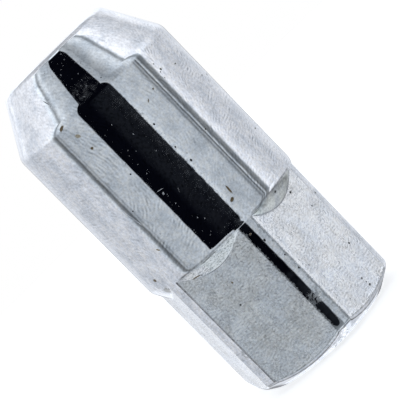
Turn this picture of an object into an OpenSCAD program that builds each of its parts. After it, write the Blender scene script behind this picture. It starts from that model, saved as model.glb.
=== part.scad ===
// Long wheel nut with a conical seat, in millimetres.
// It stands on the end face of its hexagon at z = 0, with the seat up, on the +Z axis.

/* [Hexagon] */
// Width across the flats, which is the wrench size
across_flats = 19; // [17:0.5:22]
// Length from the end face to the edge of the round body
hex_length = 16.7; // [10:0.1:25]
// Slope of the turned bevel that runs out over each flat, measured from the axis
bevel_angle = 30; // [25:1:45]
// How far the blunted corners lie inside the surface of the round body
corner_drop = 0.07; // [0.03:0.01:0.2]
// Slope of the end chamfer, measured from the end face
chamfer_angle = 35; // [20:1:45]
// How far the flat ring of the end face stays inside the flats
chamfer_inset = 1.05; // [0.4:0.05:1.4]

/* [Round body] */
// How much wider the round body is than the flats
body_over = 2.1; // [1.2:0.1:2.5]
// Length of the plain round body, between the hexagon and the seat
body_length = 20.1; // [8:0.1:30]

/* [Seat] */
// Full angle of the conical seat
seat_angle = 60; // [56:1:64]
// Width of the flat ring at the tip of the seat, before its rim is rounded
tip_ring = 0.8; // [0.6:0.05:1.2]
// Radius of the rounded rim at the tip
tip_round = 1; // [0.3:0.05:1]
// Radius of the rounded edge between the seat and the round body
shoulder_round = 1.8; // [0.5:0.1:2.5]

/* [Thread] */
// Nominal diameter of the stud thread
thread_d = 12; // [10:0.5:14]
// Pitch of the stud thread
thread_pitch = 1.5; // [1:0.25:1.75]
// How much wider than the thread the countersink is at each end
sink_over = 0.4; // [0.2:0.1:0.8]
// Full angle of the countersinks
sink_angle = 90; // [90:5:120]

/* [Hidden] */
$fn = 128;
over = 1;

flat_r = across_flats / 2;
body_r = (across_flats + body_over) / 2;
corner_r = body_r - corner_drop;
end_r = flat_r - chamfer_inset;
sink_r = (thread_d + sink_over) / 2;
tip_r = sink_r + tip_ring;
// A metric thread's ridges stand 5/8 of its sharp height inside the nominal size
minor_r = (thread_d - thread_pitch * 2 * 5 / 8 * cos(30)) / 2;

half_seat = seat_angle / 2;
seat_length = (body_r - tip_r) / tan(half_seat);
seat_z = hex_length + body_length;
total = seat_z + seat_length;
bevel_length = (body_r - flat_r) / tan(bevel_angle);
chamfer_z = (body_r - end_r) * tan(chamfer_angle);
foot_z = hex_length - bevel_length;
sink_depth = (sink_r - minor_r) / tan(sink_angle / 2);

// Distance from a sharp edge to where its rounding starts, on both sides of it
shoulder_cut = shoulder_round * tan(half_seat / 2);
tip_cut = tip_round * tan((90 - half_seat) / 2);

// Half of the turned outside, from the axis outwards, with both rounded edges
module turned_half() {
    polygon([
        [0, 0],
        [end_r, 0],
        [body_r, chamfer_z],
        [body_r, seat_z - shoulder_cut],
        [body_r - shoulder_cut * sin(half_seat), seat_z + shoulder_cut * cos(half_seat)],
        [tip_r + tip_cut * sin(half_seat), total - tip_cut * cos(half_seat)],
        [tip_r - tip_cut, total],
        [0, total]
    ]);
    translate([body_r - shoulder_round, seat_z - shoulder_cut]) circle(r = shoulder_round);
    translate([tip_r - tip_cut, total - tip_round]) circle(r = tip_round);
}

// The six flats with their blunted corners, under a cone that leaves a crescent over each flat
module hexagon_and_bevel() {
    intersection() {
        cylinder(r = flat_r / cos(30), h = hex_length, $fn = 6);
        cylinder(r = corner_r, h = hex_length);
    }
    rotate_extrude() polygon([
        [0, foot_z - over / tan(bevel_angle)],
        [flat_r - over, foot_z - over / tan(bevel_angle)],
        [body_r + over, hex_length + over / tan(bevel_angle)],
        [body_r + over, total + over],
        [0, total + over]
    ]);
}

// The hole for the stud at the width of the thread's ridges, with a countersink at each end
module stud_hole() {
    translate([0, 0, -over]) cylinder(r = minor_r, h = total + 2 * over);
    for (at_tip = [0, 1])
        translate([0, 0, at_tip * total]) mirror([0, 0, at_tip]) translate([0, 0, -over])
            cylinder(
                r1 = sink_r + over * tan(sink_angle / 2),
                r2 = minor_r - over * tan(sink_angle / 2),
                h = sink_depth + 2 * over
            );
}

module wheel_nut() {
    color([0.78, 0.79, 0.80]) difference() {
        intersection() {
            rotate_extrude() turned_half();
            hexagon_and_bevel();
        }
        stud_hole();
    }
}

wheel_nut();
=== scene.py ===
# A long wheel nut with a conical seat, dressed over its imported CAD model.
import bpy
import math
import numpy as np
from mathutils import Matrix, Vector


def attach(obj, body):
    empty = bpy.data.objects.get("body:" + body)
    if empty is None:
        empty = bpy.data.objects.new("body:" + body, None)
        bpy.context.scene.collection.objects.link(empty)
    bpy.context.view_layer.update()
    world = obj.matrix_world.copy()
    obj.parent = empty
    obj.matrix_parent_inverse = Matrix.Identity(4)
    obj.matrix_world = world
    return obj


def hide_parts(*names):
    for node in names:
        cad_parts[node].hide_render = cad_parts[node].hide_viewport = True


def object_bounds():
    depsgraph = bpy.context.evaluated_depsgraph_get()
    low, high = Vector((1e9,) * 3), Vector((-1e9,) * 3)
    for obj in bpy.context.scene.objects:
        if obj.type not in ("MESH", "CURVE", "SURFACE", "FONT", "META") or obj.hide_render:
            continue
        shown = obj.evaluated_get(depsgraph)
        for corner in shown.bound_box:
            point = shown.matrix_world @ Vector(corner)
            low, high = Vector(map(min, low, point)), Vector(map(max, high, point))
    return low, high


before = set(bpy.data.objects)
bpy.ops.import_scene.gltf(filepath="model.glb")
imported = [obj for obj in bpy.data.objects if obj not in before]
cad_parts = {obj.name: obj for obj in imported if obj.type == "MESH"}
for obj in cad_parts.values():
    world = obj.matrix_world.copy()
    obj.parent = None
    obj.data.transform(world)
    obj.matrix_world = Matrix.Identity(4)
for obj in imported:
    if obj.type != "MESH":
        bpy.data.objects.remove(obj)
cad_box = [list(map(float, c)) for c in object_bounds()]
rad = math.radians
MM = 0.001

# Half the width and the height of the CAD model's box, in millimetres
BODY_R = round(cad_box[1][0] / MM, 4)
TOTAL = round(cad_box[1][2] / MM, 4)

# The hexagon in millimetres, as in the CAD source. Widths are measured from the axis
FLAT_R = 9.5
CORNER_R = round(BODY_R - 0.07, 4)
END_R = round(FLAT_R - 1.05, 4)
HEX_LENGTH = 16.7
# Slopes of the cone and bevel, and of the end chamfer
CONE_SLOPE = math.tan(rad(30))
CHAMFER_SLOPE = math.tan(rad(35))
# Height where the bevel starts in the middle of a flat
FOOT_Z = HEX_LENGTH - (BODY_R - FLAT_R) / CONE_SLOPE

# The conical seat: width of its tip, height of its start and the roundings of both edges
TIP_R = 7.0
SEAT_Z = round(TOTAL - (BODY_R - TIP_R) / CONE_SLOPE, 4)
SHOULDER_ROUND = 1.8
TIP_ROUND = 1.0

# The hole: countersinks, ridges and grooves of the thread, and its pitch
SINK_R = 6.2
MINOR_R = 5.188
MAJOR_R = 6.02
PITCH = 1.5

# Small roundings: ends of the flats, end ring, foot and top of the bevel, edges of the flats
END_ROUND = 0.95
RING_ROUND = 0.3
FOOT_SOFT = 0.12
TOP_SOFT = 0.26
EDGE_SOFT = 0.05
# How far the first two reach from their sharp edge, which turns by 55 and by 35 degrees
END_UP = END_ROUND * math.tan(rad(55 / 2))
RING_IN = round(RING_ROUND * math.tan(rad(35 / 2)), 4)

# Width of the rounded lip at each mouth of the hole, with its radius and its centre
LIP_WIDTH = 0.06
LIP_ROUND = LIP_WIDTH / (1 - math.cos(math.pi / 4))
LIP_OUT = LIP_ROUND * math.cos(math.pi / 4) - LIP_WIDTH

# One corner, at this angle, is blunted a little less than the others
SHARP_AT = 240
SHARP_BY = 0.065
SHARP_WIDTH = 9

# One pitch of the thread, as heights and widths from the axis
THREAD_ROWS = [(0, MINOR_R), (0.375, MINOR_R), (0.844, MAJOR_R), (1.031, MAJOR_R)]

# Directions around the nut, as the photograph's camera sees them
CAMERA_ANGLE = rad(-70.95)
TOWARD = Vector((math.cos(CAMERA_ANGLE), math.sin(CAMERA_ANGLE), 0))
RIGHT = Vector((-math.sin(CAMERA_ANGLE), math.cos(CAMERA_ANGLE), 0))

# The nut's materials, in the order of its slots
TURNED, GROUND, THREAD, STRIP = range(4)


# Shape: one closed mesh, made of the outside with both lips of the hole and of the thread inside
def soft_min(a, b, width):
    overlap = np.maximum(width - np.abs(a - b), 0) / width
    return np.minimum(a, b) - overlap * overlap * width / 4


def soft_max(a, b, width):
    return -soft_min(-a, -b, width)


def smooth(share):
    share = np.clip(share, 0, 1)
    return share * share * (3 - 2 * share)


def corner(angle):
    # Radius of the blunted corners
    off = np.degrees(np.mod(angle - rad(SHARP_AT) + math.pi, 2 * math.pi) - math.pi)
    return CORNER_R + SHARP_BY * np.exp(-(off / SHARP_WIDTH) ** 2)


def from_middle(angle):
    # Angle from the middle of the nearest flat
    return np.mod(angle, rad(60)) - rad(30)


def radius(angle, z):
    # The bevel is rounded over the flats, and the corners run on into the body without an edge
    wide = FLAT_R / np.cos(from_middle(angle))
    at_corner = smooth((wide - 10.05) / 0.35)
    blunt = corner(angle)
    below_body = 1 - smooth((z - HEX_LENGTH + 0.3) / 1.2)
    body = BODY_R - at_corner * (BODY_R - blunt) * below_body
    bevel = soft_min(FLAT_R + (z - FOOT_Z) * CONE_SLOPE, body, TOP_SOFT - 0.21 * at_corner)
    r = soft_max(soft_min(wide, blunt, EDGE_SOFT), bevel, FOOT_SOFT - 0.09 * at_corner)
    # Depth below the start of the rounding at the hexagon's end, then the rounding and the chamfer
    depth = (r - END_R) * CHAMFER_SLOPE + END_UP - z
    deepest = END_ROUND * math.sin(rad(55))
    rounded = r - END_ROUND + np.sqrt(END_ROUND ** 2 - np.clip(depth, 0, deepest) ** 2)
    return np.where(depth > deepest, np.minimum(END_R + z / CHAMFER_SLOPE, r), rounded)


def arc(centre, r, first, last, steps):
    # Points of an arc as radius, height and the two parts of the normal
    out = []
    for turn in np.radians(np.linspace(first, last, steps + 1)):
        out.append((centre[0] + r * math.cos(turn), centre[1] + r * math.sin(turn),
                    math.cos(turn), math.sin(turn)))
    return out


def ring(angle, r, z):
    return np.stack([r * np.cos(angle), r * np.sin(angle), np.broadcast_to(z, angle.shape)], 1)


def columns():
    # Angles of the grid's columns, closer together at the edge of each flat
    out = []
    for k in range(6):
        for side in (0, 1):
            edge = 30 - math.degrees(math.acos(FLAT_R / float(corner(rad(60 * (k + side))))))
            half = [0, 1.3, 2.4]
            half += [edge + v for v in (-0.8, -0.5, -0.25, 0, 0.25, 0.5, 0.8, 1.6)]
            half += [9, 12, 15, 18, 21, 24, 27, 30]
            out += [60 * k + v for v in half[:-1]] if side == 0 else [60 * (k + 1) - v for v in half[:0:-1]]
    return np.radians(out)


class Skin:
    # The rows of the outside, from the lower mouth of the hole to the upper one
    def __init__(self, angle):
        self.angle = angle
        self.rows, self.normals, self.on_flat = [], [], []

    def turned(self, points):
        for r, z, normal_r, normal_z in points:
            self.rows.append(ring(self.angle, r, z))
            self.normals.append(ring(self.angle, normal_r, normal_z))
            self.on_flat.append(False)

    def field(self, z, on_flat=False):
        # A row at the height or heights z, with the normal from the slopes of the radius
        angle = self.angle
        z = np.broadcast_to(z, angle.shape)
        tiny = 1e-4
        r = radius(angle, z)
        slope_round = (radius(angle + tiny, z) - radius(angle - tiny, z)) / (2 * tiny)
        slope_up = (radius(angle, z + tiny) - radius(angle, z - tiny)) / (2 * tiny)
        cos, sin = np.cos(angle), np.sin(angle)
        normal = np.stack([r * cos + slope_round * sin, r * sin - slope_round * cos, -r * slope_up], 1)
        self.rows.append(ring(angle, r, z))
        self.normals.append(normal / np.linalg.norm(normal, axis=1)[:, None])
        self.on_flat.append(on_flat)


def lower_end(skin, rise):
    # Lip of the hole, flat ring, its rounded edge, end chamfer and the rounding to the flats
    skin.turned(arc((SINK_R + LIP_OUT, LIP_ROUND), LIP_ROUND, -135, -90, 3)[:-1])
    skin.turned([(SINK_R + LIP_OUT, 0, 0, -1), (END_R - 0.4, 0, 0, -1)])
    skin.turned(arc((END_R - RING_IN, RING_ROUND), RING_ROUND, -90, -55, 3))
    ring_top, chamfer_top = 0.055, rise - END_ROUND * math.sin(rad(55))
    for share in (0.33, 0.67, 0.98):
        skin.field(ring_top + share * (chamfer_top - ring_top))
    for turn in (54, 47, 40, 33, 26, 20, 14, 8, 0):
        skin.field(rise - END_ROUND * math.sin(rad(turn)), turn <= 20)


def hexagon(skin, rise, foot_z):
    # The flats up to the bevel, the bevel, and the first millimetre of the body
    flat_top = foot_z - FOOT_SOFT / CONE_SLOPE
    for share in np.linspace(0, 1, 12)[1:]:
        skin.field(rise + share * (flat_top - rise), True)
    # The rows are closer together where the crescent is narrow
    narrow = np.minimum(1, (HEX_LENGTH - foot_z) / 0.9)
    for up in (-0.15, -0.1, -0.05, 0, 0.05, 0.1, 0.15, 0.21):
        skin.field(foot_z + up * (1 if up < 0 else narrow), up < 0)
    low, high = foot_z + 0.21 * narrow, HEX_LENGTH - 0.45 * narrow
    for share in (0.25, 0.5, 0.75, 1):
        skin.field(low + share * (high - low))
    for up in (-0.36, -0.27, -0.18, -0.09, 0):
        skin.field(HEX_LENGTH + up * narrow)
    for up in (0.09, 0.18, 0.27, 0.36, 0.45, 0.55, 0.65, 0.75, 0.9):
        skin.field(HEX_LENGTH + up)


def body_and_cone(skin):
    cut = SHOULDER_ROUND * math.tan(rad(15))
    for z in np.linspace(HEX_LENGTH + 0.9, SEAT_Z - cut, 14)[1:-1]:
        skin.turned([(BODY_R, z, 1, 0)])
    shoulder = arc((BODY_R - SHOULDER_ROUND, SEAT_Z - cut), SHOULDER_ROUND, 0, 30, 8)
    skin.turned(shoulder)
    tip_cut = TIP_ROUND * math.tan(rad(30))
    tip = arc((TIP_R - tip_cut, TOTAL - TIP_ROUND), TIP_ROUND, 30, 90, 10)
    (low_r, low_z), (high_r, high_z) = shoulder[-1][:2], tip[0][:2]
    # The normals lean over a little before the rounded rim, which softens its reflection
    for share in (0.15, 0.3, 0.45, 0.6, 0.75, 0.84, 0.88, 0.91, 0.94, 0.97):
        lean = rad(30 + 4 * float(smooth((share - 0.84) / 0.2)))
        skin.turned([(low_r + share * (high_r - low_r), low_z + share * (high_z - low_z),
                      math.cos(lean), math.sin(lean))])
    for k, (r, z, _, _) in enumerate(tip):
        lean = rad(30 + 6 * k + 3.4 * (1 - k / 10))
        skin.turned([(r, z, math.cos(lean), math.sin(lean))])
    skin.turned(arc((SINK_R + LIP_OUT, TOTAL - LIP_ROUND), LIP_ROUND, 90, 135, 3))


def outside(angle):
    # Corners, normals and materials of the outside's quads
    flat_r = np.minimum(FLAT_R / np.cos(from_middle(angle)), corner(angle))
    rise = (flat_r - END_R) * CHAMFER_SLOPE + END_UP
    skin = Skin(angle)
    lower_end(skin, rise)
    hexagon(skin, rise, FOOT_Z + (flat_r - FLAT_R) / CONE_SLOPE)
    body_and_cone(skin)
    following = np.roll(np.arange(len(angle)), -1)
    # The middle of each quad tells whether it lies on a flat or on a corner strip
    middle = np.abs(from_middle(angle + 1e-6) + from_middle(angle[following] - 1e-6)) / 2
    hexagon_steel = np.where(middle < np.arccos(FLAT_R / corner(angle)), GROUND, STRIP)
    quads, normals, steels = [], [], []
    for i in range(len(skin.rows) - 1):
        for grid, out in ((skin.rows, quads), (skin.normals, normals)):
            low, high = grid[i], grid[i + 1]
            out.append(np.stack([low, low[following], high[following], high], 1))
        steels.append(hexagon_steel if skin.on_flat[i] else np.full(len(angle), TURNED))
    return quads, normals, steels


def bore_rows(angle):
    # Rows follow the thread's helix, and both ends are cut by the countersinks
    per_turn = len(THREAD_ROWS)
    turns = int(TOTAL / PITCH) + 4
    rows = []
    for m in range(per_turn * turns):
        along, thread_r = THREAD_ROWS[m % per_turn]
        z = (m // per_turn - 1.6) * PITCH + along + PITCH * angle / (2 * math.pi)
        z = np.clip(z, LIP_WIDTH, TOTAL - LIP_WIDTH)
        sink_r = np.maximum(SINK_R - z, SINK_R - (TOTAL - z))
        rows.append(ring(angle, np.maximum(thread_r, sink_r), z))
    return rows


def unit(vectors):
    # Vectors at length one, and their lengths before
    size = np.linalg.norm(vectors, axis=-1)
    return vectors / np.maximum(size, 1e-12)[..., None], size


def bore(angle):
    # Each row goes on, after a full turn, in the row one pitch higher
    quads, normals, steels = [], [], []
    rows = bore_rows(angle)
    last = len(rows) - 1
    for i in range(last):
        low, high = rows[i], rows[i + 1]
        above = i + len(THREAD_ROWS)
        low_next = np.vstack([low[1:], rows[min(above, last)][:1]])
        high_next = np.vstack([high[1:], rows[min(above + 1, last)][:1]])
        quad = np.stack([high, high_next, low_next, low], 1)
        facing, size = unit(np.cross(quad[:, 2] - quad[:, 0], quad[:, 3] - quad[:, 1]))
        before, after = np.roll(facing, 1, 0) + facing, facing + np.roll(facing, -1, 0)
        keep = size > 1e-9
        quads.append(quad[keep])
        normals.append(unit(np.stack([before, after, after, before], 1))[0][keep])
        steels.append(np.full(int(keep.sum()), THREAD))
    return quads, normals, steels


def build():
    # Equal corners are joined, so quads with two equal corners become triangles
    angle = columns()
    quads, normals, steels = (np.concatenate(a + b) for a, b in zip(outside(angle), bore(angle)))
    places, index = np.unique(np.round(quads.reshape(-1, 3), 4), axis=0, return_inverse=True)
    faces, face_normals, slots = [], [], []
    for quad, quad_normals, steel in zip(index.reshape(-1, 4), normals, steels):
        corners = {}
        for place, normal in zip(quad, quad_normals):
            corners.setdefault(int(place), normal)
        if len(corners) > 2:
            faces.append(list(corners))
            face_normals.extend(corners.values())
            slots.append(int(steel))
    mesh = bpy.data.meshes.new("nut")
    mesh.from_pydata((places * MM).tolist(), [], faces)
    mesh.polygons.foreach_set("material_index", slots)
    mesh.polygons.foreach_set("use_smooth", [True] * len(faces))
    mesh.update()
    mesh.normals_split_custom_set([tuple(v) for v in face_normals])
    obj = bpy.data.objects.new("nut", mesh)
    bpy.context.scene.collection.objects.link(obj)
    return obj


# Short ways to write shader nodes. In the functions below, w is what holds the nodes being written
class Net:
    def __init__(self, tree):
        self.links = tree.links
        self.nodes = tree.nodes
        self.nodes.clear()

    def put(self, socket, value):
        if isinstance(value, bpy.types.NodeSocket):
            self.links.new(value, socket)
        else:
            socket.default_value = value

    def node(self, kind, inputs=None, **props):
        made = self.nodes.new(kind)
        for name, value in props.items():
            setattr(made, name, value)
        for name, value in (inputs or {}).items():
            self.put(made.inputs[name], value)
        return made

    def math(self, op, a, b=None, c=None):
        made = self.node("ShaderNodeMath", operation=op)
        for i, value in enumerate((a, b, c)):
            if value is not None:
                self.put(made.inputs[i], value)
        return made.outputs[0]

    def join(self, op, values):
        out = values[0]
        for value in values[1:]:
            out = self.math(op, out, value)
        return out

    def add(self, *values):
        return self.join("ADD", values)

    def mul(self, *values):
        return self.join("MULTIPLY", values)

    def most(self, *values):
        return self.join("MAXIMUM", values)

    def swing(self, v, amount):
        # A texture value as a swing to both sides of zero
        return self.mul(self.add(v, -0.5), amount)

    def vec(self, op, a, b=None, out=0):
        made = self.node("ShaderNodeVectorMath", operation=op)
        self.put(made.inputs[0], a)
        if b is not None:
            self.put(made.inputs[1], b)
        return made.outputs[out]

    def join_xyz(self, x=0.0, y=0.0, z=0.0):
        return self.node("ShaderNodeCombineXYZ", {0: x, 1: y, 2: z}).outputs[0]

    def step(self, v, lo, hi, a=0.0, b=1.0):
        # Smooth change from a to b, as v goes from lo to hi
        made = self.node("ShaderNodeMapRange", interpolation_type="SMOOTHSTEP")
        for i, value in enumerate((v, lo, hi, a, b)):
            self.put(made.inputs[i], value)
        return made.outputs[0]

    def band(self, v, centre, lo, hi, a=0.0, b=1.0):
        # The same, as the distance of v from a centre goes from lo to hi
        away = self.math("ABSOLUTE", self.add(v, -centre) if centre else v)
        return self.step(away, lo, hi, a, b)

    def ramp(self, v, stops):
        # Straight changes between the brightnesses at some values of v
        made = self.node("ShaderNodeValToRGB")
        points = made.color_ramp.elements
        while len(points) > 1:
            points.remove(points[-1])
        for i, (position, brightness) in enumerate(stops):
            point = points[0] if i == 0 else points.new(position)
            point.position = position
            point.color = grey(brightness)
        self.put(made.inputs[0], v)
        return made.outputs[0]

    def mix(self, share, a, b, blend="MIX"):
        made = self.node("ShaderNodeMix", data_type="RGBA", blend_type=blend)
        self.put(made.inputs[0], share)
        self.put(made.inputs[6], a)
        self.put(made.inputs[7], b)
        return made.outputs[2]

    def shade(self, colour, value):
        # A colour made lighter or darker by a number
        return self.vec("MULTIPLY", colour, self.join_xyz(value, value, value))


def grey(v):
    return v, v, v, 1


# The studio: soft panels all round, which the bright metal reflects. Each list pairs an angle from the
# camera's side, in degrees, with the brightness there: to the left, to the right and behind
WALL_LEFT = [(0, .59), (26, .59), (32, .585), (40, .565), (46, .55), (56, .545), (60, .54),
             (62, .53), (63.1, .47), (64.1, .36), (65, .385), (66, .485), (66.9, .40), (67.8, .235),
             (68.7, .14), (69.8, .19), (70.9, .235), (71.9, .275), (72.9, .39), (73.8, .56),
             (74.8, .69), (76, .73), (84, .74), (90, .72)]
WALL_RIGHT = [(0, .60), (22, .62), (24, .65), (27, .67), (31, .62), (41, .586), (47, .557),
              (54, .573), (57.3, .55), (58.8, .53), (59.8, .48), (60.7, .37), (61.6, .25),
              (62.6, .28), (63.9, .46), (64.9, .28), (65.9, .11), (66.8, .28), (67.8, .74),
              (68.8, .44), (69.8, .23), (70.8, .155), (72.1, .205), (73.3, .24), (74.5, .245),
              (75.5, .30), (76.5, .50), (77.5, .80), (78.5, .93), (80.2, .95), (84, .89), (90, .82)]
WALL_BEHIND = [(90, .77), (104, .71), (116, .69), (128, .71), (144, .78), (156, .84), (165, .86),
               (172, .92), (180, .97)]
# The same for what the cone reflects, higher up
HIGH_LEFT = [(0, .55), (30, .55), (36, .56), (38.5, .61), (44, .62), (49, .63), (54, .69),
             (57, .77), (59, .88), (62, .88), (64, .76), (66.5, .53), (68.6, .37), (70, .52),
             (71.5, .84), (73, 1.09), (76, 1.1), (80, 1.03), (90, 1.01), (98, .97), (109, .93),
             (120, .90), (130, .91), (139, 1.05), (144, 1.15), (149, 1.09), (153, .93), (158, 1.06),
             (163, 1.18), (168, 1.24), (180, 1.25)]
HIGH_RIGHT = [(0, .55), (27, .53), (33, .45), (35, .36), (38, .40), (44, .47), (49, .57), (52, .64),
              (54, .73), (57, .78), (62, .84), (64, .91), (66, .88), (69, .74), (71, .44),
              (73, .36), (75, .50), (76.8, .96), (78.4, 1.22), (80, 1.22), (90, 1.1), (98, .98),
              (104, .95), (109, .87), (120, .80), (130, .75), (135, .735), (139, .79), (144, .93),
              (149, 1.02), (153, 1.1), (180, 1.2)]


class Sky(Net):
    # The world's nodes, with the direction that a ray leaves in: its parts towards the camera's side,
    # to the right and up, and as degrees its turn round the nut and how high it points
    def __init__(self, world):
        super().__init__(world.node_tree)
        d = self.node("ShaderNodeTexCoord").outputs["Generated"]
        self.front = self.vec("DOT_PRODUCT", d, TOWARD, out=1)
        self.aside = self.vec("DOT_PRODUCT", d, RIGHT, out=1)
        self.up = self.node("ShaderNodeSeparateXYZ", {0: d}).outputs[2]
        self.high = self.mul(self.math("ARCSINE", self.up), 180 / math.pi)
        self.turn = self.mul(self.math("ARCTAN2", self.aside, self.front), 180 / math.pi)
        self.side = self.math("ABSOLUTE", self.turn)
        self.across = self.math("ABSOLUTE", self.aside)
        self.right = self.math("GREATER_THAN", self.turn, 0)

    def panels(self, angle, stops):
        start, end = stops[0][0], stops[-1][0]
        t = self.math("DIVIDE", self.add(angle, -start) if start else angle, end - start)
        return self.ramp(t, [((a - start) / (end - start), v) for a, v in stops])


def walls(w):
    # Outside the middle, the panels' outlines close below
    below = w.math("SUBTRACT", w.math("SUBTRACT", 20, w.high), w.step(w.side, 34, 26, 0, 90))
    around = w.math("SMOOTH_MAX", w.side, below, 8)
    near = w.mix(w.right, w.panels(around, WALL_LEFT), w.panels(around, WALL_RIGHT))
    base = w.mix(w.math("GREATER_THAN", around, 90), near, w.panels(around, WALL_BEHIND))
    high = w.mix(w.right, w.panels(w.side, HIGH_LEFT), w.panels(w.side, HIGH_RIGHT))
    return w.mix(w.step(w.high, -2, 14), base, high)


def ceiling(w, base):
    # A grey and a bright panel in front, and a greyer part behind the top
    front = w.mul(w.step(w.high, 66, 70), w.step(w.front, 0.02, 0.08))
    base = w.mix(front, base, grey(.45))
    top = w.mul(w.step(w.high, 68, 72), w.step(w.across, 0.15, 0.10), w.step(w.front, 0.05, 0.13))
    base = w.mix(top, base, grey(1.18))
    dull = w.mul(w.step(w.up, 0.5, 0.64), w.step(w.front, 0.06, -0.06),
                 w.step(w.aside, -0.5, -0.3, 0.55, 1), w.step(w.across, 0.64, 0.5))
    return w.mix(dull, base, w.mix(w.step(w.across, 0.05, 0.3), grey(.53), grey(.64)))


def low_down(w, base):
    # Darker at the sides, a pale floor, white behind
    flank = w.mul(w.step(w.side, 58, 70), w.step(w.side, 150, 138), w.step(w.high, -27, -31))
    sink = [(.30, .36), (.37, .42), (.455, .56), (.52, .63), (.58, .68), (.65, .71)]
    base = w.mix(flank, base, w.ramp(w.math("DIVIDE", w.high, -90), sink))
    base = w.mix(w.step(w.high, -53, -59), base, w.mix(w.right, grey(.65), grey(.71)))
    rear = w.math("SUBTRACT", w.mul(w.front, -1), w.mul(w.across, 1.35))
    base = w.mix(w.mul(w.step(rear, 0.0, 0.12), w.step(w.high, -20, -30)), base, grey(1.14))
    # A soft dark panel behind the nut
    back = w.mul(w.step(w.side, 164, 171), w.step(w.high, -32, -25), w.step(w.high, 2, -2))
    base = w.mix(w.mul(back, 0.75), base, grey(.1))
    # The flats see brighter patches to the right and behind on the left
    patch = w.mul(w.step(w.high, -7, -11), w.step(w.high, -27, -20))
    to_right = w.mul(w.step(w.turn, 62, 72), w.step(w.turn, 112, 96), 0.26)
    behind_left = w.mul(w.step(w.turn, -115, -140), 0.24)
    return w.shade(base, w.math("MULTIPLY_ADD", patch, w.add(to_right, behind_left), 1))


def black_panel(w, base):
    # The panel in front has rounded corners
    qx = w.most(w.add(w.math("ABSOLUTE", w.add(w.turn, 2.3)), -18), 0)
    qy = w.most(w.add(w.math("ABSOLUTE", w.add(w.high, -23.4)), -36.6), 0)
    edge = w.math("SQRT", w.add(w.mul(qx, qx), w.mul(qy, qy)))
    # It is not evenly black: a faint bluish glow in its middle and towards its right edge
    level = w.mul(w.step(w.high, 20, 8), w.step(w.high, -9.2, -7.4))
    glimmer = w.mul(w.band(w.turn, 3, 16, 3), level)
    dim = w.mix(glimmer, (0.0016, 0.0019, 0.0042, 1), (0.0085, 0.0098, 0.0134, 1))
    edge_glow = w.most(level, w.step(w.high, -10.5, -11.3))
    dim = w.mix(w.mul(w.step(w.turn, 9, 20), edge_glow), dim, (0.0135, 0.0155, 0.020, 1))
    return w.mix(w.step(edge, 8.5, 7.1), base, dim)


def studio():
    world = bpy.data.worlds.new("studio")
    bpy.context.scene.world = world
    world.use_nodes = True
    w = Sky(world)
    base = low_down(w, ceiling(w, walls(w)))
    tint = w.mix(w.step(w.side, 79, 75), (0.958, 0.995, 1.06, 1), (0.92, 1.0, 1.075, 1))
    seen = black_panel(w, w.mix(1.0, base, tint, "MULTIPLY"))
    # The camera itself sees plain white
    glow = w.node("ShaderNodeBackground", {"Color": seen, "Strength": 1.0})
    white = w.node("ShaderNodeBackground", {"Color": grey(1), "Strength": 1.0})
    camera_ray = w.node("ShaderNodeLightPath").outputs["Is Camera Ray"]
    both = w.node("ShaderNodeMixShader", {0: camera_ray, 1: glow.outputs[0], 2: white.outputs[0]})
    w.node("ShaderNodeOutputWorld", {0: both.outputs[0]})


def floor():
    # A disc just under the nut, in metres
    size, drop, sides = 0.3, 0.00002, 96
    mesh = bpy.data.meshes.new("floor")
    turns = [2 * math.pi * k / sides for k in range(sides)]
    rim_points = [(size * math.cos(t), size * math.sin(t), -drop) for t in turns]
    mesh.from_pydata(rim_points, [], [list(range(sides))])
    obj = bpy.data.objects.new("floor", mesh)
    bpy.context.scene.collection.objects.link(obj)
    mat = bpy.data.materials.new("floor")
    mat.use_nodes = True
    w = Net(mat.node_tree)
    lit = w.node("ShaderNodeBsdfDiffuse", {"Color": grey(0.85)})
    extra = w.node("ShaderNodeEmission", {"Color": grey(1), "Strength": 0.62})
    seen = w.node("ShaderNodeLightPath").outputs["Is Camera Ray"]
    both = w.node("ShaderNodeAddShader", {0: lit.outputs[0], 1: extra.outputs[0]})
    pick = w.node("ShaderNodeMixShader", {0: seen, 1: lit.outputs[0], 2: both.outputs[0]})
    # From below the floor is clear, so that the end face can be seen
    clear = w.node("ShaderNodeBsdfTransparent")
    under = w.node("ShaderNodeNewGeometry").outputs["Backfacing"]
    cover = w.node("ShaderNodeMixShader", {0: under, 1: pick.outputs[0], 2: clear.outputs[0]})
    w.node("ShaderNodeOutputMaterial", {0: cover.outputs[0]})
    mesh.materials.append(mat)
    obj.visible_glossy = False


def camera():
    # The view is raised and rolled as in the photograph, and aimed a little beside the nut's middle
    raised, roll, distance = rad(6.963), rad(45.645), 190.327
    aim_z, aim_down, aim_right = 20.690, 0.4393, 0.3420
    up = Vector((0, 0, 1))
    view = math.cos(raised) * TOWARD + math.sin(raised) * up
    down = math.sin(raised) * TOWARD - math.cos(raised) * up
    x = math.cos(roll) * down + math.sin(roll) * RIGHT
    y = math.cos(roll) * RIGHT - math.sin(roll) * down
    place = Vector((0, 0, aim_z)) + aim_down * down + aim_right * RIGHT + distance * view
    cam = bpy.data.cameras.new("camera")
    cam.sensor_width = 36
    cam.lens = 157.4
    cam.clip_start = 0.01
    obj = bpy.data.objects.new("camera", cam)
    obj.matrix_world = Matrix.Translation(place * MM) @ Matrix((x, y, view)).transposed().to_4x4()
    bpy.context.scene.collection.objects.link(obj)
    bpy.context.scene.camera = obj


# Materials
BROWN, TAN, SOOT, PALE = (.17, .115, .05, 1), (.40, .31, .18, 1), (.012, .011, .012, 1), (.72, .74, .77, 1)
OLIVE, SMUDGE, BEIGE, PIT = (.10, .10, .05, 1), (.20, .19, .18, 1), (.40, .38, .33, 1), (.10, .095, .08, 1)


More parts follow.
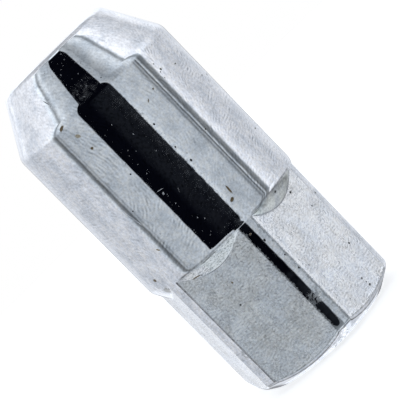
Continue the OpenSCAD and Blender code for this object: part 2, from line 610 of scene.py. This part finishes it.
class Metal(Net):
    # A material's nodes. Textures and places are in millimetres, and angles in degrees
    def __init__(self, name):
        self.material = bpy.data.materials.new(name)
        self.material.use_nodes = True
        super().__init__(self.material.node_tree)
        metres = self.node("ShaderNodeTexCoord").outputs["Object"]
        self.point = self.vec("MULTIPLY", metres, (1 / MM, 1 / MM, 1 / MM))
        self.colour, self.metallic, self.rough = grey(.8), 1.0, 0.1

    def locate(self):
        # Where a point is: z up, x to the right and turn round the nut, both from the camera's side
        place = self.node("ShaderNodeSeparateXYZ", {0: self.point})
        self.z = place.outputs[2]
        self.x = self.vec("DOT_PRODUCT", self.point, RIGHT, out=1)
        y = self.vec("DOT_PRODUCT", self.point, TOWARD, out=1)
        self.turn = self.mul(self.math("ARCTAN2", self.x, y), 180 / math.pi)
        # Angle from the middle of the nearest flat
        turn = self.mul(self.math("ARCTAN2", place.outputs[1], place.outputs[0]), 180 / math.pi)
        d = self.math("WRAP", self.add(turn, -30), 30.0, -30.0)
        self.off = self.math("ABSOLUTE", d)

    def measure_hexagon(self):
        # The hexagon's radius there, and the depth below the start of the rounding at its end
        wide = self.math("DIVIDE", FLAT_R, self.math("COSINE", self.mul(self.off, math.pi / 180)))
        self.hex_r = self.math("MINIMUM", wide, CORNER_R)
        start = self.math("MULTIPLY_ADD", self.hex_r, CHAMFER_SLOPE, END_UP - END_R * CHAMFER_SLOPE)
        self.deep = self.math("SUBTRACT", start, self.z)

    def noise(self, scale, detail=2.0, rough=0.5, shift=None, stretch=None, **more):
        v = self.point
        if shift:
            v = self.vec("ADD", v, shift)
        if stretch:
            v = self.vec("MULTIPLY", v, stretch)
        inputs = {"Vector": v, "Scale": scale, "Detail": detail, "Roughness": rough, **more}
        return self.node("ShaderNodeTexNoise", inputs).outputs[0]

    def hair(self, scale, shift, width):
        # Thin winding lines, where a noise crosses its middle
        return self.band(self.noise(scale, 2, 0.55, shift, Distortion=0.8), 0.5, width, 0.008)

    def strokes(self, per_mm, heading, wander=1.0, grain=0.9):
        # Short parallel strokes across a heading, which wanders
        inputs = {"Vector": self.point, "Scale": 0.55, "Detail": 1.0}
        turn = self.node("ShaderNodeTexNoise", inputs).outputs["Color"]
        reach = 4 * wander
        turn = self.vec("MULTIPLY", self.vec("ADD", turn, (-0.5, -0.5, -0.5)), (reach, reach, reach))
        inputs = {"Vector": self.point, "Scale": per_mm / 2.2, "Frequency": 2.2, "Anisotropy": grain}
        x = self.node("ShaderNodeTexGabor", inputs, gabor_type="3D")
        for socket in x.inputs:
            if socket.enabled and socket.name == "Orientation":
                self.put(socket, self.vec("ADD", turn, heading))
        return x.outputs[0]

    def specks(self, scale, size, share, seed):
        # Small round spots, in some of the cells only
        x = self.node("ShaderNodeTexVoronoi", {"Vector": self.vec("ADD", self.point, seed), "Scale": scale})
        red = self.node("ShaderNodeSeparateColor", {0: x.outputs["Color"]}).outputs[0]
        past_edge = self.math("SUBTRACT", x.outputs["Distance"], self.mul(red, size / share))
        hit = self.math("LESS_THAN", red, share)
        strength = self.math("MULTIPLY_ADD", red, 0.8 / share, 0.2)
        return self.mul(hit, strength, self.step(past_edge, 0.03, -0.03))

    def mark(self, spot, size, turn=0.0, jag=0.0, soft=0.3):
        # An oval spot at an angle round the nut, a height and a radius
        a = CAMERA_ANGLE + rad(spot[0])
        place = (spot[2] * math.cos(a), spot[2] * math.sin(a), spot[1])
        inputs = {"Vector": self.point, "Location": place, "Rotation": (turn, 0, a), "Scale": (1.2, *size)}
        oval = self.node("ShaderNodeMapping", inputs, vector_type="TEXTURE").outputs[0]
        d = self.vec("LENGTH", oval, out=1)
        if jag:
            d = self.add(d, self.swing(self.noise(2.2, 2), jag))
        return self.step(d, 1 + soft, 1 - soft)

    def stroke(self, a, b, r, width, **more):
        # A straight scratch between two places, each an angle and a height, at a radius
        dy, dz = r * rad(b[0] - a[0]), b[1] - a[1]
        centre = ((a[0] + b[0]) / 2, (a[1] + b[1]) / 2, r)
        return self.mark(centre, (width, math.hypot(dy, dz) / 2 + width), math.atan2(-dy, dz), **more)

    def stain(self, mask, colour, metallic=0.0, rough=0.6):
        # Lays a spot of dirt, rust or wear over colour, metallic and roughness
        self.colour = self.mix(mask, self.colour, colour)
        change = self.math("SUBTRACT", metallic, self.metallic)
        self.metallic = self.add(self.metallic, self.mul(mask, change))
        change = self.math("SUBTRACT", rough, self.rough)
        self.rough = self.add(self.rough, self.mul(mask, change))

    def close(self, height):
        bump = self.node("ShaderNodeBump", {"Strength": 1.0, "Distance": 0.001, "Height": height})
        inputs = {"Base Color": self.colour, "Metallic": self.metallic, "Roughness": self.rough,
                  "Normal": bump.outputs[0]}
        self.node("ShaderNodeOutputMaterial", {0: self.node("ShaderNodeBsdfPrincipled", inputs).outputs[0]})
        return self.material


def rim(w):
    # Distance from the line round the end of a flat, which has rounded corners
    t = w.math("MULTIPLY_ADD", w.math("TANGENT", w.mul(w.off, math.pi / 180)), FLAT_R, -4.5)
    return w.math("ABSOLUTE", w.math("SMOOTH_MAX", w.add(w.deep, -0.68), t, 0.9))


# Turned steel: the body, cone, bevel and end chamfer, and with other wear the corner strips
def polish(w):
    # Wavy polishing strokes, whose heading turns along the nut and round it
    sideways = w.band(w.x, 0, 5.5, 8.5)
    lean = w.mul(w.add(w.z, -27), w.step(w.x, 5.5, 8.5, 0.149, 0))
    lean = w.add(lean, w.mul(sideways, w.step(w.x, -1, 1, 1.8, -0.7)))
    level = w.shade(tuple(RIGHT), w.math("MULTIPLY_ADD", sideways, -1.0, 1.5))
    lines = w.strokes(2.8, w.vec("ADD", level, w.join_xyz(z=lean)), 0.35, 0.85)
    # They come in patches, fainter on the cone, on the hexagon, just right of the front and far left
    patches = w.step(w.noise(0.6, 2, shift=(6, 6, 1)), 0.38, 0.60, 0.2, 1.0)
    return w.mul(w.swing(lines, 0.95), patches, w.step(w.z, SEAT_Z - 0.3, SEAT_Z + 0.7, 1, 0.5),
                 w.step(w.z, HEX_LENGTH - 0.5, HEX_LENGTH + 0.5, 0.3, 1), w.band(w.turn, 21, 11, 8, 1, 0.5),
                 w.step(w.turn, -40, -34, 0.5, 1))


def turned_tone(w, strip):
    # Grain, clouds, turned rings, drawn lines and polish
    grit = w.noise(4.6, 2, 0.6)
    cloud = w.noise(0.8, 4, 0.6)
    rings = w.noise(1.0, 2, stretch=(0.22, 0.22, 6.5))
    drawn = w.noise(1.0, 3, stretch=(2.6, 2.6, 0.35))
    return w.add(w.swing(grit, 0.64), w.swing(w.fine, 0.58), w.swing(cloud, 0.22),
                 w.swing(rings, 0.34 if strip else 0.14),
                 w.swing(drawn, 0.36 if strip else 0.14),
                 polish(w), w.step(w.blue, 0.38, 0.64, 0.065, -0.11),
                 w.band(w.turn, 11, 8, 12, 0.80, 0.97) if strip else 1.0)


def strip_tone(w, tone):
    # Painted light, brighter below the end of the front strip's black reflection, and a painted dark line
    # down the left strip
    foot = w.mul(w.band(w.turn, 11, 8, 6), w.step(w.z, 2.3, 1.8), 0.24)
    dark = w.mul(w.band(w.turn, -45.5, 0.75, 0.3), w.step(w.fine, 0.3, 0.6, -0.50, -0.72))
    return w.add(tone, foot, dark)


def front_tone(w, tone):
    # A rubbed streak beside the middle of the body, and mottling where the black panel glows faintly
    rub = w.mul(w.step(w.turn, 10.6, 11.6), w.step(w.turn, 15.5, 12.2),
                w.step(w.z, 17.5, 20), w.step(w.z, 35, 32))
    rub = w.mul(rub, w.add(w.swing(w.noise(2.6, 3, 0.7), 2.1), 0.06))
    mottle = w.mul(w.step(w.turn, -8, -4), w.step(w.turn, 12.3, 11.5),
                   w.step(w.z, SEAT_Z + 0.1, SEAT_Z - 0.6))
    return w.add(tone, rub, w.mul(mottle, w.swing(w.noise(3.0, 3, 0.7, shift=(8, 8, 2)), 2.6)))


def find_crescents(w):
    # Height above the bevel's lower edge, the smoother second crescent, and the inside of them all
    foot = w.math("MULTIPLY_ADD", w.hex_r, 1 / CONE_SLOPE, FOOT_Z - FLAT_R / CONE_SLOPE)
    w.lift = w.math("SUBTRACT", w.z, foot)
    w.second = w.step(w.turn, 12, 24)
    w.crescent = w.mul(w.step(w.lift, 0.05, 0.2), w.step(w.z, HEX_LENGTH, HEX_LENGTH - 0.2),
                       w.step(w.off, 24, 21), w.step(w.turn, -62, -54))


def painted_dark_edges(w, tone):
    # Painted dark reflections at the edges between the flats and the end chamfer, and along both arcs of
    # the crescents
    painted_edge_shade = w.mix(w.step(w.off, 24.8, 25.2), rim(w), w.math("ABSOLUTE", w.add(w.deep, -0.53)))
    painted_edge_shade = w.mul(w.step(painted_edge_shade, 0.085, 0.03), w.step(w.z, 3, 2))
    lower = w.mul(w.band(w.lift, 0, w.math("MULTIPLY_ADD", w.second, 0.13, 0.10), 0.03), 0.75)
    upper = w.band(w.z, HEX_LENGTH + 0.03, 0.16, 0.04)
    soft = w.mul(w.step(w.z, HEX_LENGTH - 0.75, HEX_LENGTH - 0.5),
                 w.step(w.z, HEX_LENGTH, HEX_LENGTH - 0.05), w.step(w.turn, 20, 26), 0.55)
    arcs = w.mul(w.most(lower, upper, soft), w.step(w.off, 24.5, 22), w.step(w.turn, -64, -56))
    lines = w.most(w.mul(painted_edge_shade, 1.25), w.mul(arcs, w.step(w.z, 14, 14.5)))
    return w.mul(tone, w.math("MULTIPLY_ADD", lines, w.step(w.fine, 0.35, 0.6, -0.58, -0.34), 1))


def chamfer_tone(w, tone):
    # The end chamfer is greyer in its upper part
    lower, upper = w.step(w.turn, 30, 36, 0.38, 0.10), w.step(w.turn, 30, 36, 0.64, 0.36)
    dull = w.mul(w.step(w.deep, 0.50, 0.62), w.step(w.z, lower, upper), w.step(w.z, 2.5, 2.2),
                 w.band(w.turn, 11, 3, 6))
    return w.mul(tone, w.math("MULTIPLY_ADD", dull, -0.36, 1))


def crescent_tone(w, tone):
    # Bright diagonal scratches in the crescents, and a painted highlight along the lower arcs
    brushed = w.noise(2.4, 3, 0.7, stretch=(1.2, 1.2, 3.2), Distortion=1.0)
    scratches = w.math("MULTIPLY_ADD", w.add(brushed, -0.5), w.step(w.turn, 12, 24, 3.2, 0.6),
                       w.step(w.turn, 12, 24, 0.03, -0.07))
    bright = w.mul(w.band(w.lift, 0.2, 0.12, 0.05), w.step(w.off, 24, 21), w.step(w.fine, 0.4, 0.55),
                   w.step(w.turn, 12, 24, 0.3, 0.0))
    return w.add(tone, w.mul(w.crescent, scratches), bright)


def turned_colour(w, strip, tone):
    warm = w.noise(2.6, 2, 0.6, shift=(31, 7, 3))
    colour = w.mix(w.step(warm, 0.35, 0.65), (.778, .800, .846, 1), (.812, .806, .804, 1))
    if not strip:
        green = w.mul(w.crescent, w.math("MULTIPLY_ADD", w.second, 0.5, 0.5))
        colour = w.mix(green, colour, (.79, .815, .78, 1))
    # The cone is a little warmer, and some patches are bluer
    colour = w.mix(w.step(w.z, SEAT_Z - 0.3, SEAT_Z + 1.2, 0, 0.6), colour, (.80, .803, .82, 1))
    colour = w.mix(w.step(w.blue, 0.44, 0.66, 0.0, 0.55), colour, (.745, .795, .865, 1))
    return w.shade(colour, tone)


def turned_rough(w):
    dots = w.mul(w.specks(2.4, 0.20, 0.18, (1, 1, 6)), 0.14)
    return w.add(w.step(w.noise(0.55, 4, 0.6), 0.48, 0.70, 0.03, 0.06), w.swing(w.fine, 0.03), dots)


def film(w):
    # Fine scratches in patches, which dull the metal where it reflects black
    feather = w.step(w.noise(4.2, 3, 0.7, shift=(4, 4, 4), Distortion=0.5), 0.30, 0.70)
    torn = w.noise(1.3, 3, 0.55, shift=(5, 2, 9), stretch=(1.5, 1.5, 1.0), Distortion=0.6)
    haze = w.mul(w.step(w.turn, 2.0, 8.0), w.step(w.turn, 12.2, 11.5), w.step(torn, 0.42, 0.64),
                 w.step(w.z, SEAT_Z + 0.1, SEAT_Z - 0.4))
    ridge = w.mul(w.step(w.z, SEAT_Z, SEAT_Z + 0.5), w.step(w.z, SEAT_Z + 2.3, SEAT_Z + 1.5),
                  w.step(torn, 0.42, 0.58), w.band(w.turn, 0, 13.5, 12))
    broad = w.noise(0.5, 3, 0.6, shift=(5, 2, 9))
    veil = w.mul(w.band(w.turn, 0.5, 8.5, 2), w.step(broad, 0.36, 0.62), 0.11)
    veil = w.mul(veil, w.step(w.z, SEAT_Z - 0.2, SEAT_Z - 0.8), w.math("MULTIPLY_ADD", feather, 0.3, 0.7))
    w.rough = w.add(w.rough, veil)
    strength = w.mul(w.most(haze, ridge), w.math("MULTIPLY_ADD", feather, 0.65, 0.15))
    share = w.mul(strength, w.step(w.z, SEAT_Z - 0.3, SEAT_Z + 0.2, 0.05, 0.10))
    w.stain(share, (.70, .82, 1, 1), 0.0, 0.1)
    grains = w.mul(w.specks(2.6, 0.26, 0.5, (6, 2, 6)), w.step(w.z, SEAT_Z + 0.2, SEAT_Z + 0.8),
                   w.band(w.turn, 0, 13, 11), 0.85)
    w.stain(grains, (.060, .064, .076, 1), 0.0, 0.2)


def scattered_dirt(w):
    w.stain(w.mul(w.specks(1.3, 0.12, 0.14, (8, 3, 2)), 0.5), (.24, .25, .27, 1))
    w.stain(w.mul(w.specks(1.25, 0.10, 0.05, (7, 1, 5)), 0.8), SOOT)
    w.stain(w.mul(w.specks(0.9, 0.08, 0.04, (2, 6, 8)), 0.8), BROWN)
    flecks = w.mul(w.specks(3.4, 0.20, 0.40, (3, 3, 3)), w.step(w.turn, -15, -13.5),
                   w.step(w.turn, -4, -7), 0.8)
    w.stain(flecks, (.030, .020, .013, 1))


def strip_wear(w):
    worn = w.mul(w.band(w.z, 5.9, 1.0, 0.5), w.step(w.rag, 0.47, 0.54), 0.55)
    w.stain(worn, (.42, .44, .46, 1), 0.6, 0.4)
    # The edge beside the flats is worn in places, and the front strip's mirror ends round
    ragged = w.math("SUBTRACT", w.off, w.swing(w.rag, 4.5))
    edge = w.mul(w.step(ragged, 25.75, 25.3), w.step(w.turn, 40, 20))
    low = w.math("MINIMUM", w.add(w.z, -2.5), 0)
    foot = w.vec("LENGTH", w.join_xyz(w.mul(w.add(w.turn, -8.7), 0.42), w.mul(low, 1.7)), out=1)
    foot = w.mul(w.step(foot, 0.9, 1.05), w.step(w.z, 2.5, 2.4), w.band(w.turn, 8.7, 3.4, 2.8))
    w.stain(w.most(w.mul(edge, 0.8), foot), (.40, .42, .44, 1), 0.6, 0.4)
    w.stain(w.most(w.mark((12.2, 13.8, CORNER_R), (.12, .16)),
                   w.mark((68.2, 12.6, CORNER_R), (.16, .13)),
                   w.mark((15.4, 9.2, CORNER_R), (.09, .12)),
                   w.mark((14.8, 11.2, CORNER_R), (.08, .1))), SOOT)
    w.stain(w.mark((8.7, 15.3, 10.5), (.14, .1), jag=1.0), BROWN)


def rust_and_smudges(w):
    w.stain(w.most(w.mark((-26.4, 36.65, 10.5), (.34, .17), 0.5, jag=1.4),
                   w.mark((-21.5, 33.06, BODY_R), (.17, .15), jag=0.8),
                   w.stroke((18, 20.6), (17.8, 19.7), BODY_R, .10, jag=0.8),
                   w.mark((15.2, 19.2, BODY_R), (.28, .18), 0.4, jag=1.2),
                   w.mul(w.mark((27.7, 33.0, BODY_R), (.12, .11), jag=0.8), 0.8),
                   w.mul(w.mark((20.5, 32.5, BODY_R), (.08, .22), -0.785, jag=0.6), 0.8),
                   w.mark((-59, 18.1, BODY_R), (.26, .2), jag=1.0),
                   w.stroke((-36.4, 15.78), (-31.4, 15.64), 9.98, .09, jag=0.8)), BROWN)
    w.stain(w.mark((-22.5, 34.95, BODY_R), (.19, .31), 0.785, jag=0.5), (.52, .46, .35, 1))
    w.stain(w.mark((-37.5, 20.6, BODY_R), (.09, .24), 0.785, jag=0.6), TAN)
    pits = w.mul(w.specks(2.4, 0.26, 0.30, (2, 5, 2)), w.step(w.turn, 36.5, 38), w.step(w.turn, 48, 43),
                 w.step(w.z, 30, 31.5), w.step(w.z, 36.2, 35.4))
    w.stain(w.mul(pits, 0.8), PIT)
    smudges = w.most(w.mark((-44.2, 16.2, 10.47), (.17, .36), 0.2, jag=0.3),
                     w.mark((-59.2, 15.8, 10.15), (.10, .12)),
                     w.mark((67.4, 30.1, BODY_R), (.34, .13), jag=1.2),
                     w.mark((76, 29.7, BODY_R), (.4, .16), jag=1.2))
    w.stain(w.mul(smudges, 0.5), SMUDGE)
    w.stain(w.mul(w.mark((-58.6, 16.4, 10.35), (.55, .42), 0.4, jag=1.4), 0.5), BEIGE)
    olive = w.most(w.mark((40.9, 33.82, BODY_R), (.13, .12), jag=0.8),
                   w.mark((39.3, 33.65, BODY_R), (.08, .07)),
                   w.mark((53.3, 33.1, BODY_R), (.15, .08), jag=0.8),
                   w.mark((69.9, 22.05, BODY_R), (.26, .08), jag=0.8))
    w.stain(w.mul(olive, 0.9), OLIVE)


def specks_of_the_front(w):
    w.stain(w.most(w.mark((39.7, 16.3, 10.3), (.15, .11)),
                   w.mark((14, 25.1, BODY_R), (.12, .15)),
                   w.stroke((-27.8, 39.9), (-25.2, 39.2), 8.95, .035, soft=0.6),
                   w.mark((13.2, 30.4, BODY_R), (.1, .12)),
                   w.mark((12.8, 27.2, BODY_R), (.09, .1)),
                   w.mark((34, 26.2, BODY_R), (.12, .1)),
                   w.mark((-16, 28.4, BODY_R), (.09, .09)),
                   w.mark((-31, 25.4, BODY_R), (.1, .08))), SOOT)
    pale = w.most(w.stroke((-12, 25.2), (-8.4, 25.1), BODY_R, .035),
                  w.mark((-10.2, 24.66, BODY_R), (.10, .15), -0.5),
                  w.mul(w.stroke((-2.2, 24), (-3.2, 23.6), BODY_R, .035), 0.35),
                  w.mark((-9.2, 23.04, BODY_R), (.06, .05)),
                  w.mark((-6, 20.4, BODY_R), (.07, .05)),
                  w.mark((1, 31.2, BODY_R), (.05, .06)),
                  w.mark((3.6, 28.3, BODY_R), (.05, .04)),
                  w.mark((-4, 33.4, BODY_R), (.05, .05)))
    w.stain(w.mul(pale, 0.6), PALE)


def turned_steel(name, strip):
    w = Metal(name)
    w.locate()
    w.fine = w.noise(2.1, 4, 0.62, Distortion=0.5)
    w.rag = w.noise(2.4, 3, 0.65)
    w.blue = w.noise(0.62, 4, 0.62, shift=(0, 9, 2), stretch=(1, 1, 0.7))
    broad = w.noise(0.32, 2)
    wave = w.noise(1.1, 1, 0.4, shift=(3, 17, 9))
    tone = turned_tone(w, strip)
    if strip:
        tone = strip_tone(w, tone)
    else:
        w.measure_hexagon()
        find_crescents(w)
        tone = crescent_tone(w, chamfer_tone(w, painted_dark_edges(w, front_tone(w, tone))))
    w.colour = turned_colour(w, strip, tone)
    w.rough = turned_rough(w)
    if strip:
        scattered_dirt(w)
        strip_wear(w)
        return w.close(w.add(w.mul(broad, 0.012), w.mul(wave, 0.003)))
    film(w)
    scattered_dirt(w)
    rust_and_smudges(w)
    specks_of_the_front(w)
    # One long scratch, and a rubbed band beside the black panel's right edge
    scratch = w.stroke((-36, 25.9), (-33.6, 23.9), BODY_R, .05)
    frayed = w.mul(w.step(w.turn, 9, 10.5), w.step(w.turn, 15, 13),
                   w.step(w.z, 18, 21), w.step(w.z, 35, 32), w.swing(w.rag, 0.003))
    return w.close(w.add(w.mul(broad, 0.010), w.mul(wave, 0.0028), w.mul(scratch, -0.004), frayed))


# Ground steel: the six flats
def flat_lines(w):
    # Painted reflections: a thin dark line on the right flat along the front strip, a bright one beside it
    # and the dark line round the ends of the flats. Then hairs and nicks
    rag = w.noise(2.4, 2, 0.6)
    dark = w.mul(w.band(w.turn, 16.3, 0.75, 0.25), w.step(rag, 0.3, 0.6, 0.22, 0.42))
    painted_edge_highlight = w.mul(w.band(w.math("SUBTRACT", w.add(w.turn, -17.8), w.swing(rag, 2.0)), 0, 1.0, 0.4), 0.22)
    painted_rim_shade = w.mul(w.step(rim(w), 0.085, 0.03), w.step(w.z, 2.4, 1.7), -0.55)
    hairs = w.mul(w.hair(1.5, (9, 1, 5), 0.035), w.step(w.noise(0.9, 2, shift=(4, 4, 7)), 0.48, 0.6))
    nicks = w.mul(w.hair(1.3, (1, 8, 2), 0.03), w.step(w.noise(1.0, 2, shift=(7, 3, 1)), 0.50, 0.6))
    return w.add(w.mul(hairs, 0.22), w.mul(nicks, -0.14), painted_edge_highlight, w.mul(dark, -1), painted_rim_shade)


def flat_marks(w):
    w.stain(w.mul(w.specks(1.1, 0.11, 0.06, (4, 4, 1)), 0.8), SOOT)
    w.stain(w.most(w.mark((53, 14.8, 9.71), (.15, .12)),
                   w.mark((58.7, 6.35, 9.98), (.12, .12)),
                   w.mark((45.8, 2.95, 9.54), (.13, .10), 0.5),
                   w.mark((46.4, 2.35, 9.54), (.09, .08)),
                   w.mark((47, 1.85, 9.54), (.15, .11), 0.4),
                   w.mark((-26.7, 10.4, 9.59), (.11, .11))), SOOT)
    w.stain(w.mark((-20.2, 12.75, 9.5), (.11, .12), jag=0.8), BROWN)
    nicks = w.most(w.stroke((3.2, 5.0), (2.2, 3.95), 10.22, .06, soft=0.6),
                   w.stroke((-25, 8.4), (-24, 7.1), 9.55, .11, soft=0.6))
    w.stain(w.mul(nicks, 0.6), PALE, 0.6, 0.45)


def flat_steel():
    w = Metal("flat_steel")
    w.locate()
    w.measure_hexagon()
    broad = w.noise(0.4, 2)
    cloud = w.noise(1.1, 3, 0.6)
    grain = w.noise(2.7, 3, 0.6, Distortion=0.8)
    grit = w.noise(4.8, 2, 0.6)
    warm = w.noise(2.2, 2, 0.6, shift=(11, 5, 23))
    worm = w.strokes(2.9, tuple(RIGHT - Vector((0, 0, 1))), 2.0, 0.6)
    patch = w.noise(0.75, 3, 0.6, shift=(2, 8, 4))
    # Painted light: the front right flat and the left one are lighter, the left one less so at its far edge
    lit = w.add(w.mul(w.step(w.turn, 16, 18), w.step(w.turn, 66, 64), 0.05),
                w.step(w.turn, -50, -54, 0, 0.09), w.step(w.turn, -76, -70, 0, 0.04))
    # The tone also holds a narrow painted dark band in the rounding at the ends of the flats
    tone = w.add(w.mul(w.add(grit, -0.5), w.step(w.turn, 10, 20, 0.85, 0.62)), w.swing(grain, 0.50),
                 w.swing(cloud, 0.36), w.swing(broad, 0.50), w.swing(worm, 0.75),
                 w.step(patch, 0.50, 0.62, -0.03, 0.08), flat_lines(w), lit, 0.96,
                 w.band(w.deep, 0.27, 0.09, 0.02, 0.0, -0.16))
    colour = w.mix(w.step(warm, 0.35, 0.65), (.788, .803, .832, 1), (.808, .805, .806, 1))
    hue = w.step(w.noise(0.32, 2, 0.6, shift=(8, 1, 3)), 0.38, 0.62)
    hue = w.mix(hue, (.984, 1, 1.02, 1), (1.008, 1.0, .982, 1))
    w.colour = w.mix(1.0, w.shade(colour, tone), hue, "MULTIPLY")
    w.rough = w.add(w.swing(cloud, 0.12), w.swing(grain, 0.14), w.step(w.deep, -0.3, 0.1, 0.29, 0.18))
    w.metallic = w.math("SUBTRACT", 1.0, w.step(w.noise(2.2, 3, 0.6), 0.5, 0.8, 0.01, 0.06))
    flat_marks(w)
    return w.close(w.add(w.mul(broad, 0.05), w.mul(cloud, 0.03), w.mul(grain, 0.036), w.mul(grit, 0.016),
                         w.mul(worm, 0.024)))


def thread_steel():
    w = Metal("thread_steel")
    rings = w.noise(1.0, 3, stretch=(0.3, 0.3, 7))
    grime = w.noise(0.7, 4, 0.65)
    colour = w.mix(w.step(grime, 0.42, 0.68), (.60, .61, .63, 1), (.30, .27, .23, 1))
    w.colour = w.shade(colour, w.add(w.swing(rings, 0.3), 1.0))
    w.rough = w.step(grime, 0.4, 0.7, 0.28, 0.5)
    w.metallic = w.step(grime, 0.5, 0.75, 1.0, 0.7)
    return w.close(w.add(w.mul(rings, 0.006), w.mul(grime, 0.01)))


nut = build()
steels = {TURNED: turned_steel("turned_steel", False), GROUND: flat_steel(), THREAD: thread_steel(),
          STRIP: turned_steel("corner_steel", True)}
for slot in sorted(steels):
    nut.data.materials.append(steels[slot])
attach(nut, "root")
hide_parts("wheel_nut")
studio()
floor()
camera()
bpy.context.scene.view_settings.view_transform = "Standard"
